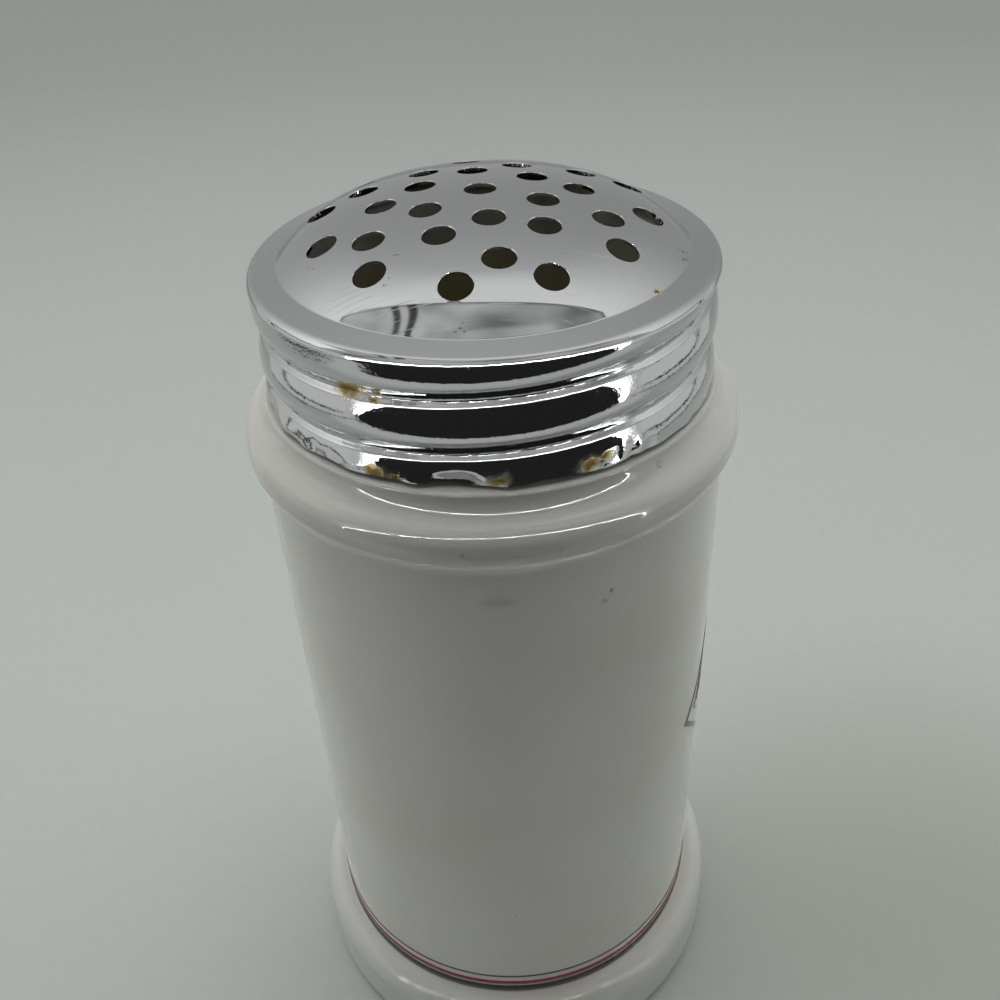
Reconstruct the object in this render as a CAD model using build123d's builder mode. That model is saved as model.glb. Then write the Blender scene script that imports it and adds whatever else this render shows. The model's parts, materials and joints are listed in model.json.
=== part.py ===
from build123d import *
from math import cos, pi, radians, sin, sqrt
import os

# Parmesan shaker: a glazed ceramic jar with a chromed, perforated screw lid.
# Millimetres, +Z up, origin at the centre of the foot. The front faces -Y.

# Jar body
body_radius = 34.9
body_wall = 4.4
floor_thickness = 5.0
inner_round = 6.0

# Jar foot: a stepped ring with a recess under it
foot_radius = 39.3
foot_height = 14.1
foot_fall = 0.6
foot_top_round = 2.4
foot_bottom_round = 2.5
foot_ledge_fillet = 0.35
foot_round_share = 0.7
foot_fillet_share = 0.2
foot_ring_width = 4.5
foot_recess = 2.0
recess_fillet = 1.2
ring_edge_round = 0.6

# Jar shoulder: a rolled bead that blends into the body, and a collar that the lid's edge stands above
shoulder_top = 122.9
shoulder_proud = 1.85
shoulder_round = 2.87
shoulder_depth = 5.0
shoulder_blend_height = 2.1
shoulder_blend_fillet = 4.0
collar_proud = 0.35
collar_height = 3.2
collar_round = 0.5
collar_fillet = 1.1
ledge_round_share = 0.705
ledge_fillet_share = 0.28
neck_fillet = 0.8

# Jar neck and lip
neck_wall = 4.0
lip_round = 1.2
inner_shoulder_low = 12.0
inner_shoulder_high = 2.0

# Lid: sheet, rim, skirt and dome
lid_sheet = 0.5
lid_gap = 0.4
skirt_height = 15.9
rim_radius = 32.35
rim_round = 2.5
crease_angle = 25.0
crease_fillet = 0.6
dome_rise = 10.0
cap_radius = 72.0
knuckle_radius = 10.5

# Lid perforations: a centre hole and rings on an even spacing
hole_diameter = 4.3
ring_spacing = 4.45
ring_step_counts = (0, 2, 3, 4, 5)
ring_hole_counts = (1, 6, 6, 6, 12)
ring_turn_angles = (0.0, -84.0, -54.0, -84.0, -99.0)
punch_depth = 3.0

# Screw thread: a groove rolled into the lid, a ridge raised on the neck
thread_pitch = 7.55
groove_depth = 1.45
groove_radius = 2.2
groove_top_angle = -2.0
groove_edge_margin = 0.8
groove_end_wall = 0.8
ridge_radius = 1.8
ridge_lip_gap = 1.0
ridge_foot_gap = 0.6
thread_clearance = 0.5
flank_clearance = 0.35

# Liner: a flat washer trapped in the lid above its thread
liner_thickness = 1.0
liner_clearance = 0.1
liner_side_clearance = 0.3

# Fired-on transfers: three rings above the foot, and a badge facing +X
transfer_thickness = 0.08
black_stripe_height = 15.35
black_stripe_width = 1.8
red_stripe_height = 17.2
red_stripe_width = 1.05
fine_stripe_height = 19.3
fine_stripe_width = 0.45
badge_height = 66.0
badge_half_width = 19.0
badge_half_length = 22.0
badge_line = 0.9
badge_fine_line = 0.4
badge_line_gap = 2.2
petal_length = 9.0
petal_width = 4.4
petal_gap = 1.4
petal_count = 4
dot_radius = 0.9
dot_reach = 0.62

# Heights that follow from the stack of jar, gap and lid
collar_top = shoulder_top + collar_height
skirt_bottom = collar_top + lid_gap
rim_height = skirt_bottom + skirt_height
dome_top = rim_height + dome_rise


def circle_meet(a: Vector, radius_a: float, b: Vector, radius_b: float) -> Vector:
    """Return the upper left point that two circles share."""
    across = b - a
    along = (radius_a**2 - radius_b**2 + across.length**2) / (2 * across.length)
    off = sqrt(radius_a**2 - along**2)
    unit = across.normalized()
    return a + unit * along + Vector(-unit.Y, unit.X) * off


def towards(start: Vector, end: Vector, distance: float) -> Vector:
    """Return the point at a distance from start on the way to end."""
    return start + (end - start).normalized() * distance


def arc_middle(centre: Vector, first: Vector, last: Vector, radius: float) -> Vector:
    """Return the middle point of the short arc between two points round a centre."""
    return towards(centre, (first + last) * 0.5, radius)


def helix_path(radius: float, low: float, high: float, low_angle: float) -> Curve:
    """Return a right-hand thread path that starts at an angle from +X."""
    with BuildLine(Plane.XY.offset(low)) as path:
        Helix(pitch=thread_pitch, height=high - low, radius=radius)
    return path.line.rotate(Axis.Z, low_angle)


def helix_section(path: Curve, low_angle: float) -> Plane:
    """Return the plane square to a thread path at its start, with X pointing outwards."""
    turn = radians(low_angle)
    return Plane(origin=path @ 0, x_dir=(cos(turn), sin(turn), 0), z_dir=path % 0)


# Centres of the lid's profile arcs, in the plane of radius and height
cap_centre = Vector(0, dome_top - cap_radius)
rim_centre = Vector(rim_radius - rim_round, rim_height)
crease_reach = rim_round + crease_fillet
crease_turn = radians(crease_angle)
crease_centre = rim_centre + Vector(-sin(crease_turn), cos(crease_turn)) * crease_reach
knuckle_centre = circle_meet(
    cap_centre, cap_radius - knuckle_radius, crease_centre, knuckle_radius + crease_fillet
)

# Thread sizes that the lid and the neck share
groove_centre_radius = rim_radius - groove_depth + groove_radius
bead_radius = groove_radius + lid_sheet
bead_reach = groove_centre_radius - bead_radius
groove_half_width = sqrt(groove_radius**2 - (groove_radius - groove_depth) ** 2)
groove_top = rim_height - groove_half_width
groove_bottom = skirt_bottom + groove_half_width + groove_edge_margin
groove_bottom_angle = groove_top_angle - 360 * (groove_top - groove_bottom) / thread_pitch
groove_end_rise = thread_pitch * groove_end_wall / (2 * pi * groove_centre_radius)
groove_end_turn = 360 * groove_end_rise / thread_pitch

neck_radius = bead_reach - thread_clearance
ridge_centre_radius = rim_radius - lid_sheet - thread_clearance - ridge_radius
flank_reach = bead_radius + ridge_radius + flank_clearance
ridge_offset = sqrt(flank_reach**2 - (groove_centre_radius - ridge_centre_radius) ** 2)

# Seat of the lid: the crease presses on the liner, and the liner lies on the lip
liner_top = crease_centre.Y - crease_fillet - lid_sheet - liner_clearance
lip_top = liner_top - liner_thickness
neck_bore = neck_radius - neck_wall

ridge_top = lip_top - ridge_lip_gap - ridge_radius
ridge_bottom = collar_top + neck_fillet + ridge_foot_gap + ridge_radius
ridge_bottom_angle = groove_top_angle + 360 * (ridge_bottom - ridge_offset - groove_top) / thread_pitch

# Jar: one turned profile, closed on the axis, with the thread ridge on its neck
shoulder_radius = body_radius + shoulder_proud
shoulder_low = shoulder_top - shoulder_depth
collar_radius = rim_radius + collar_proud
shoulder_ledge = shoulder_radius - collar_radius
foot_ring_inside = foot_radius - foot_bottom_round - foot_ring_width
foot_ledge = foot_radius - body_radius
jar_corners = [
    ((0, foot_recess), 0),
    ((foot_ring_inside - foot_recess, foot_recess), recess_fillet),
    ((foot_ring_inside, 0), ring_edge_round),
    ((foot_radius, 0), foot_bottom_round),
    ((foot_radius, foot_height - foot_fall), min(foot_top_round, foot_round_share * foot_ledge)),
    ((body_radius, foot_height), min(foot_ledge_fillet, foot_fillet_share * foot_ledge)),
    ((body_radius, shoulder_low - shoulder_blend_height), shoulder_blend_fillet),
    ((shoulder_radius, shoulder_low), shoulder_round),
    ((shoulder_radius, shoulder_top), min(shoulder_round, ledge_round_share * shoulder_ledge)),
    ((collar_radius, shoulder_top), min(collar_fillet, ledge_fillet_share * shoulder_ledge)),
    ((collar_radius, collar_top), collar_round),
    ((neck_radius, collar_top), neck_fillet),
    ((neck_radius, lip_top), lip_round),
    ((neck_bore, lip_top), lip_round),
    ((neck_bore, shoulder_top - inner_shoulder_high), inner_round),
    ((body_radius - body_wall, shoulder_top - inner_shoulder_low), inner_round),
    ((body_radius - body_wall, foot_recess + floor_thickness), inner_round),
    ((0, foot_recess + floor_thickness), 0),
]
with BuildPart() as jar:
    with BuildSketch(Plane.XZ):
        with BuildLine():
            FilletPolyline(
                [point for point, radius in jar_corners],
                radius=[radius for point, radius in jar_corners],
                close=True,
            )
        make_face()
    revolve(axis=Axis.Z)
    ridge_path = helix_path(ridge_centre_radius, ridge_bottom, ridge_top, ridge_bottom_angle)
    with BuildSketch(helix_section(ridge_path, ridge_bottom_angle)):
        Circle(ridge_radius)
    sweep(path=ridge_path, is_frenet=True)
jar.part.label = "jar"


# Lid: a sheet shell whose outer and inner faces are arcs round the same centres
def shell_face(depth: float) -> tuple[Vector, Vector]:
    """Draw the lid's sheet at a depth under its outer face, and return its two ends."""
    top = Vector(0, dome_top - depth)
    cap_end = towards(cap_centre, knuckle_centre, cap_radius - depth)
    knuckle_end = towards(knuckle_centre, crease_centre, knuckle_radius - depth)
    crease_end = towards(crease_centre, rim_centre, crease_fillet + depth)
    rim_end = rim_centre + Vector(rim_round - depth, 0)
    skirt_end = Vector(rim_radius - depth, skirt_bottom)
    for centre, radius, first, last in (
        (cap_centre, cap_radius - depth, top, cap_end),
        (knuckle_centre, knuckle_radius - depth, cap_end, knuckle_end),
        (crease_centre, crease_fillet + depth, knuckle_end, crease_end),
        (rim_centre, rim_round - depth, crease_end, rim_end),
    ):
        ThreePointArc(first, arc_middle(centre, first, last, radius), last)
    Line(rim_end, skirt_end)
    return top, skirt_end


# Every perforation is punched square to the dome's cap
punch_planes = []
for step_count, hole_count, turn_angle in zip(ring_step_counts, ring_hole_counts, ring_turn_angles):
    for number in range(hole_count):
        angle = radians(turn_angle + number * 360 / hole_count)
        radius = step_count * ring_spacing
        rise = sqrt(cap_radius**2 - radius**2)
        outwards = Vector(radius * cos(angle), radius * sin(angle), rise)
        punch_planes.append(Plane(origin=Vector(0, 0, cap_centre.Y) + outwards, z_dir=outwards))

with BuildPart() as lid:
    with BuildSketch(Plane.XZ):
        with BuildLine():
            outer_top, outer_edge = shell_face(0)
            inner_top, inner_edge = shell_face(lid_sheet)
            Line(outer_top, inner_top)
            Line(outer_edge, inner_edge)
        make_face()
    revolve(axis=Axis.Z)
    with BuildSketch(*punch_planes):
        Circle(hole_diameter / 2)
    extrude(amount=punch_depth, both=True, mode=Mode.SUBTRACT)
    # The rolled thread: a bead pushed into the lid, and the groove that it leaves outside
    bead_angle = groove_bottom_angle - groove_end_turn
    bead_path = helix_path(
        groove_centre_radius, groove_bottom - groove_end_rise, groove_top + groove_end_rise, bead_angle
    )
    with BuildSketch(helix_section(bead_path, bead_angle)):
        Circle(bead_radius)
        with Locations((rim_radius - lid_sheet / 2 - groove_centre_radius, 0)):
            Rectangle(
                2 * bead_radius, 2 * bead_radius, align=(Align.MIN, Align.CENTER), mode=Mode.SUBTRACT
            )
    sweep(path=bead_path, is_frenet=True)
    groove_path = helix_path(groove_centre_radius, groove_bottom, groove_top, groove_bottom_angle)
    with BuildSketch(helix_section(groove_path, groove_bottom_angle)):
        Circle(groove_radius)
    sweep(path=groove_path, is_frenet=True, mode=Mode.SUBTRACT)
lid.part.label = "lid"

# Liner: it reaches out under the rim's curve, past the tip of the rolled thread
rim_inside = rim_centre.X + sqrt((rim_round - lid_sheet) ** 2 - (liner_top - rim_height) ** 2)
liner_outside = rim_inside - liner_side_clearance
liner_inside = neck_bore + liner_side_clearance
with BuildPart() as lid_liner:
    with BuildSketch(Plane.XY.offset(lip_top)):
        Circle(liner_outside)
        Circle(liner_inside, mode=Mode.SUBTRACT)
    extrude(amount=liner_thickness)
lid_liner.part.label = "lid_liner"

# Transfer rings round the body
stripes = []
for name, height, width in (
    ("black_stripe", black_stripe_height, black_stripe_width),
    ("red_stripe", red_stripe_height, red_stripe_width),
    ("fine_stripe", fine_stripe_height, fine_stripe_width),
):
    with BuildPart() as stripe:
        with BuildSketch(Plane.XY.offset(height - width / 2)):
            Circle(body_radius + transfer_thickness)
            Circle(body_radius, mode=Mode.SUBTRACT)
        extrude(amount=width)
    stripe.part.label = name
    stripes.append(stripe)

# Badge: a lozenge of two lines round a petalled ornament, wrapped on the body at +X
badge_plane = Plane(origin=(0, 0, badge_height), x_dir=(0, 1, 0), z_dir=(1, 0, 0))
badge_reach = body_radius + 2 * transfer_thickness


def lozenge(inset: float) -> list[tuple[float, float]]:
    """Return the corners of a lozenge, drawn in from the badge's outline by an even margin."""
    slant = sqrt(badge_half_width**2 + badge_half_length**2)
    width = badge_half_width - inset * slant / badge_half_length
    length = badge_half_length - inset * slant / badge_half_width
    return [(width, 0), (0, length), (-width, 0), (0, -length)]


with BuildPart() as badge_frame:
    with BuildSketch(badge_plane):
        Polygon(lozenge(0), align=None)
        Polygon(lozenge(badge_line), align=None, mode=Mode.SUBTRACT)
        Polygon(lozenge(badge_line + badge_line_gap), align=None)
        Polygon(
            lozenge(badge_line + badge_line_gap + badge_fine_line), align=None, mode=Mode.SUBTRACT
        )
    extrude(amount=badge_reach)
    with BuildSketch(Plane.XY.offset(badge_height - badge_half_length)):
        Circle(body_radius + transfer_thickness)
        Circle(body_radius, mode=Mode.SUBTRACT)
    extrude(amount=2 * badge_half_length, mode=Mode.INTERSECT)
badge_frame.part.label = "badge_frame"

with BuildPart() as badge_rosette:
    with BuildSketch(badge_plane):
        with PolarLocations(petal_gap + petal_length / 2, petal_count):
            Ellipse(petal_length / 2, petal_width / 2)
        with Locations(
            (0, dot_reach * badge_half_length),
            (0, -dot_reach * badge_half_length),
            (dot_reach * badge_half_width, 0),
            (-dot_reach * badge_half_width, 0),
        ):
            Circle(dot_radius)
    extrude(amount=badge_reach)
    with BuildSketch(Plane.XY.offset(badge_height - badge_half_length)):
        Circle(body_radius + transfer_thickness)
        Circle(body_radius, mode=Mode.SUBTRACT)
    extrude(amount=2 * badge_half_length, mode=Mode.INTERSECT)
badge_rosette.part.label = "badge_rosette"

# One file for each piece
os.makedirs("parts", exist_ok=True)
for piece in (jar, lid, lid_liner, *stripes, badge_frame, badge_rosette):
    export_step(piece.part, f"parts/{piece.part.label}.step")
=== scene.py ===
"""Parmesan shaker: a glazed ceramic jar under a chromed, perforated screw lid.

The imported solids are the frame. Each piece here stands for one of them, at the same place and size, and
adds what the solids leave plain: rolled edges, wear, stains, glaze and print. Sizes are in millimetres.
"""

from __future__ import annotations

import json
import logging
import math
from collections.abc import Callable, Sequence
from dataclasses import dataclass, field
from enum import Enum
from functools import partial

import bpy
from bpy.types import Material, Node, NodeSocket, NodeTree, Object
from mathutils import Euler, Matrix, Vector, noise

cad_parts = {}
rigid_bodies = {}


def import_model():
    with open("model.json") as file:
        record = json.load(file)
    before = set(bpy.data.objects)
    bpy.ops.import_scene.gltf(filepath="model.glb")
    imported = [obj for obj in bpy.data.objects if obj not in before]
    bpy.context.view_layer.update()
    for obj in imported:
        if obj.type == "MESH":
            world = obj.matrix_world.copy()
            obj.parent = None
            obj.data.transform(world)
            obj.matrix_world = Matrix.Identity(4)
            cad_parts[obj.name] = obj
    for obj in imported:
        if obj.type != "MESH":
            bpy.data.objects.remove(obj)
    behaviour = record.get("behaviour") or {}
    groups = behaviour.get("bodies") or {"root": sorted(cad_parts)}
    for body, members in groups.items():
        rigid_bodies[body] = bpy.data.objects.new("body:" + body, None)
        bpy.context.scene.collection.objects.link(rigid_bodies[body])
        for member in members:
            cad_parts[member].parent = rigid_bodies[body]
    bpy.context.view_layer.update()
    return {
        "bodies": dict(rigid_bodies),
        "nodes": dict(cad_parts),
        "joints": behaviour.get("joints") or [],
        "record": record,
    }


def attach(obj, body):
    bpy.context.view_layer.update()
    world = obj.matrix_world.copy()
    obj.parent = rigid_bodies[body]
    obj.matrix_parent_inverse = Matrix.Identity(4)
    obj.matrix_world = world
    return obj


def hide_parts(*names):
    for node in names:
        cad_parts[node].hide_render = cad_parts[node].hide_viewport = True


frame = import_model()

LOG = logging.getLogger("shaker")
MM = 0.001
SOFT = {"interpolation_type": "SMOOTHSTEP"}
Span = tuple[float, float]
Profile = list[Span]
# Most values of a noise texture lie between these.
NOISE_SPAN: Span = (0.3, 0.7)


def linear(hex_colour: str) -> tuple[float, float, float, float]:
    """Turn an sRGB hex colour into linear RGBA.

    Args:
        hex_colour: the colour as "#rrggbb".

    Returns:
        Red, green, blue and an alpha of 1.
    """
    channels = []
    for start in (1, 3, 5):
        value = int(hex_colour[start : start + 2], 16) / 255
        channels.append(value / 12.92 if value <= 0.04045 else ((value + 0.055) / 1.055) ** 2.4)
    return (*channels, 1.0)


def smooth(low: float, high: float, value: float) -> float:
    """Rise softly from 0 at low to 1 at high.

    Args:
        low: where the rise starts; it may lie above high.
        high: where it ends.
        value: the place to read.

    Returns:
        A number from 0 to 1.
    """
    share = min(max((value - low) / (high - low), 0.0), 1.0)
    return share * share * (3 - 2 * share)


def degrees_apart(first: float, second: float) -> float:
    """Return the signed angle from second to first, in degrees, between -180 and 180."""
    return (first - second + 180) % 360 - 180


def angle_of(place: Vector) -> float:
    """Return the angle of a place about the axis, in degrees from +X."""
    return math.degrees(math.atan2(place.y, place.x))


def add_node(tree: NodeTree, kind: str, inputs: Sequence | dict = (), **settings: object) -> Node:
    """Add a node with its settings, values and links.

    Args:
        tree: the material's or world's node tree.
        kind: the node's type, without its ShaderNode.
        inputs: values, sockets or nodes, either in the order of the node's sockets or by socket name.
        **settings: properties of the node.

    Returns:
        The new node.
    """
    node = tree.nodes.new(f"ShaderNode{kind}")
    for name, value in settings.items():
        setattr(node, name, value)
    if isinstance(inputs, dict):
        pairs = [(node.inputs[name], value) for name, value in inputs.items()]
    else:
        pairs = zip([socket for socket in node.inputs if socket.enabled], inputs)
    for socket, value in pairs:
        if isinstance(value, Node):
            value = next(output for output in value.outputs if output.enabled)
        if isinstance(value, NodeSocket):
            tree.links.new(value, socket)
        else:
            socket.default_value = value
    return node


def per_metre(size_mm: float) -> float:
    """Return a texture's scale for features of a size in millimetres."""
    return 1 / (size_mm * MM)


def height_band(tree: NodeTree, height: NodeSocket, limits: Span, **settings: object) -> Node:
    """Return a node that is 1 midway between two heights and 0 outside them."""
    low, high = (limit * MM for limit in limits)
    band = add_node(tree, "MapRange", (height, low, high, -1, 1))
    band = add_node(tree, "Math", (band, band), operation="MULTIPLY")
    return add_node(tree, "MapRange", (band, 1, 0, 0, 1), **settings)


@dataclass(frozen=True)
class Spot:
    """A mark on a surface.

    Attributes:
        angle: degrees about the axis from +X.
        radius: distance from the axis.
        height: height above the foot.
        reach: how far the mark spreads up and down.
        drawn_out: how many times wider than tall it is.
    """

    angle: float
    radius: float
    height: float
    reach: float
    drawn_out: float = 1.0

    def near(self, tree: NodeTree, place: NodeSocket) -> Node:
        """Return a node that is 1 at the mark's middle and 0 past its reach."""
        add = partial(add_node, tree)
        turn = math.radians(self.angle)
        middle = (self.radius * math.cos(turn) * MM, self.radius * math.sin(turn) * MM, self.height * MM)
        away = add("VectorMath", (place, middle), operation="SUBTRACT")
        away = add("VectorMath", (away, (1, 1, self.drawn_out)), operation="MULTIPLY")
        away = add("VectorMath", (away,), operation="LENGTH")
        return add("MapRange", (away, self.reach * self.drawn_out * MM, 0, 0, 1))


def any_spot(tree: NodeTree, place: NodeSocket, spots: Sequence[Spot]) -> Node:
    """Return a node that is 1 at the middle of each spot and 0 away from them all."""
    mask = spots[0].near(tree, place)
    for spot in spots[1:]:
        mask = add_node(tree, "Math", (mask, spot.near(tree, place)), operation="MAXIMUM")
    return mask


class Finish:
    """A procedural material on Object coordinates."""

    name = "finish"

    def shader(self, tree: NodeTree, place: NodeSocket) -> Node:
        """Return the material's shader node."""
        raise NotImplementedError

    def build(self) -> Material:
        """Return the material."""
        material = bpy.data.materials.new(self.name)
        material.use_nodes = True
        tree = material.node_tree
        tree.nodes.clear()
        place = add_node(tree, "TexCoord").outputs["Object"]
        add_node(tree, "OutputMaterial", {"Surface": self.shader(tree, place)})
        return material


@dataclass(frozen=True)
class ChromePlate(Finish):
    """Chrome plate on stamped steel: a neutral mirror with handling scratches, pits and gold-brown stains."""

    name: str = "worn_chrome_plate"
    plate: str = "#c4c6c6"
    pit: str = "#35332f"
    stain: str = "#6e5a1e"
    stain_edge: str = "#b3a35c"
    roughness: float = 0.03
    haze_mm: float = 9.0
    crumb_mm: float = 0.5
    scratch_length_mm: float = 11.0
    # Real scratches are a few hundredths wide; these are coarse enough to show.
    scratch_width_mm: float = 0.14
    scratch_turns: tuple[float, ...] = (18.0, 71.0, 128.0)
    scratched_above: float = 144.6
    rubbed: Span = (142.2, 144.0)
    skirt_grain: float = 0.3
    ragged_mm: float = 1.7
    ragged_by_mm: float = 2.4
    pit_mm: float = 0.75
    # Limits between which a pattern goes from nothing to full.
    scratch_cut: Span = (0.77, 0.84)
    worn_cut: Span = (0.42, 0.62)
    rub_cut: Span = (0.54, 0.72)
    stain_cut: Span = (0.05, 0.75)
    gold_cut: Span = (0.25, 0.8)
    pit_cut: Span = (0.4, 0.25)
    pitted_cut: Span = (0.1, 0.6)
    haze_cut: Span = (0.35, 0.75)
    # How strong each mark is.
    least_worn: float = 0.1
    rub_most: float = 0.5
    haze_rough: float = 0.06
    scratch_rough: float = 0.22
    mark_rough: float = 0.4
    scratch_relief: float = -0.2
    relief_strength: float = 0.35
    relief_mm: float = 0.15
    stain_metal: float = 0.6
    stains: tuple[Spot, ...] = (
        Spot(-123.3, 31.6, 138.1, 1.6, 2.2),
        Spot(-117.0, 31.9, 137.4, 0.7, 2.0),
        Spot(-118.0, 32.2, 127.5, 1.2, 1.8),
        Spot(-113.0, 32.2, 127.0, 0.8, 2.0),
        Spot(-89.0, 32.0, 127.7, 1.4, 1.5),
        Spot(-68.7, 32.2, 127.9, 1.5, 1.6),
        Spot(-64.5, 32.2, 128.4, 1.0, 1.8),
        Spot(-86.0, 31.0, 132.4, 0.6, 2.0),
        Spot(-41.5, 28.4, 145.2, 0.9, 1.5),
        Spot(62.0, 32.2, 126.8, 1.5, 2.0),
        Spot(148.0, 31.8, 130.0, 1.4, 2.0),
    )
    pits: tuple[Spot, ...] = (
        Spot(-1.0, 27.8, 145.8, 1.3),
        Spot(-18.5, 27.8, 145.8, 1.5),
        Spot(-21.5, 28.2, 145.4, 1.2),
        Spot(-152.0, 24.7, 147.9, 1.1),
        Spot(-132.0, 30.2, 144.9, 0.8),
        Spot(-122.0, 22.7, 148.6, 1.0),
        Spot(-124.5, 18.0, 150.1, 1.1),
        Spot(-97.0, 27.6, 145.9, 1.4),
    )

    def scratches(self, tree: NodeTree, place: NodeSocket) -> Node:
        """Return a node that draws long fine lines on the dome, laid across each other in patches."""
        add = partial(add_node, tree)
        along, across = per_metre(self.scratch_length_mm), per_metre(self.scratch_width_mm)
        patch = add("TexNoise", {"Vector": place, "Scale": per_metre(self.haze_mm), "Detail": 2.0})
        lines = None
        for turn in self.scratch_turns:
            lay = {"Vector": place, "Rotation": (0, 0, math.radians(turn)), "Scale": (along, across, along)}
            turned = add("Mapping", lay)
            grain = add("TexNoise", {"Vector": turned, "Scale": 1.0, "Detail": 0.0})
            line = add("MapRange", (grain, *self.scratch_cut, 0, 1))
            lines = line if lines is None else add("Math", (lines, line), operation="MAXIMUM")
        worn = add("MapRange", (patch, *self.worn_cut, self.least_worn, 1))
        height = add("SeparateXYZ", (place,)).outputs["Z"]
        low = self.scratched_above * MM
        above = add("MapRange", (height, low, low + MM, 0, 1))
        worn = add("Math", (worn, above), operation="MULTIPLY")
        return add("Math", (lines, worn), operation="MULTIPLY")

    def shader(self, tree: NodeTree, place: NodeSocket) -> Node:
        """Return the plate's shader, with its marks in colour, roughness and relief."""
        add = partial(add_node, tree)
        crumb = add("TexNoise", {"Vector": place, "Scale": per_metre(self.crumb_mm), "Detail": 3.0})
        stray = add("TexNoise", {"Vector": place, "Scale": per_metre(self.ragged_mm), "Detail": 4.0})
        stray = add("VectorMath", (stray.outputs["Color"], (0.5, 0.5, 0.5)), operation="SUBTRACT")
        stray = add("VectorMath", (stray, [self.ragged_by_mm * MM] * 3, place), operation="MULTIPLY_ADD")
        patchy = any_spot(tree, stray.outputs["Vector"], self.stains)
        stained = add("MapRange", (patchy, *self.stain_cut, 0, 1), **SOFT)
        cells = add("TexVoronoi", {"Vector": place, "Scale": per_metre(self.pit_mm)})
        dots = add("MapRange", (cells, *self.pit_cut, 0, 1))
        pit_area = add("MapRange", (any_spot(tree, place, self.pits), *self.pitted_cut, 0, 1))
        pitted = add("Math", (dots, pit_area), operation="MULTIPLY")
        height = add("SeparateXYZ", (place,)).outputs["Z"]
        speckled = add("MapRange", (crumb, *self.rub_cut, 0, self.rub_most))
        rub = add("Math", (height_band(tree, height, self.rubbed), speckled), operation="MULTIPLY")
        scratch = add("Math", (self.scratches(tree, place), rub), operation="MAXIMUM")

        gold = add("MapRange", (patchy, *self.gold_cut, 0, 1))
        gold = add("Mix", (gold, linear(self.stain_edge), linear(self.stain)), data_type="RGBA")
        colour = add("Mix", (pitted, linear(self.plate), linear(self.pit)), data_type="RGBA")
        colour = add("Mix", (stained, colour, gold), data_type="RGBA")

        haze = add("TexNoise", {"Vector": place, "Scale": per_metre(self.haze_mm), "Detail": 4.0})
        rough = add("MapRange", (haze, *self.haze_cut, self.roughness, self.roughness + self.haze_rough))
        rough = add("Math", (scratch, self.scratch_rough, rough), operation="MULTIPLY_ADD")
        marked = add("Math", (stained, pitted), operation="MAXIMUM")
        rough = add("Math", (marked, self.mark_rough, rough), operation="MULTIPLY_ADD")

        crust = add("Math", (stained, crumb), operation="MULTIPLY")
        low = self.rubbed[0] * MM
        grain = add("MapRange", (height, low + MM, low, 0, self.skirt_grain))
        grain = add("Math", (grain, crumb), operation="MULTIPLY")
        relief = add("Math", (scratch, self.scratch_relief, crust), operation="MULTIPLY_ADD")
        relief = add("Math", (relief, grain), operation="ADD")
        relief = add("Math", (relief, pitted), operation="SUBTRACT")
        bump = {"Height": relief, "Strength": self.relief_strength, "Distance": self.relief_mm * MM}
        metal = add("MapRange", (stained, 0, 1, 1, self.stain_metal))
        surface = {"Base Color": colour, "Metallic": metal, "Roughness": rough, "Normal": add("Bump", bump)}
        return add("BsdfPrincipled", surface)


@dataclass(frozen=True)
class DullSteel(Finish):
    """Unpolished steel inside the lid: grey and matt, browned by old cheese."""

    name: str = "dull_steel_underside"
    steel: str = "#85806f"
    film: str = "#5c4c2a"
    film_mm: float = 5.0
    film_cut: Span = (0.42, 0.6)
    film_most: float = 0.85
    film_metal: float = 0.3
    rough: Span = (0.35, 0.6)

    def shader(self, tree: NodeTree, place: NodeSocket) -> Node:
        """Return the steel's shader, with a brown film in clouds."""
        add = partial(add_node, tree)
        cloud = add("TexNoise", {"Vector": place, "Scale": per_metre(self.film_mm), "Detail": 5.0})
        film = add("MapRange", (cloud, *self.film_cut, 0, self.film_most), **SOFT)
        colour = add("Mix", (film, linear(self.steel), linear(self.film)), data_type="RGBA")
        surface = {
            "Base Color": colour,
            "Metallic": add("MapRange", (film, 0, self.film_most, 1, self.film_metal)),
            "Roughness": add("MapRange", (cloud, *NOISE_SPAN, *self.rough)),
        }
        return add("BsdfPrincipled", surface)


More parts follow.
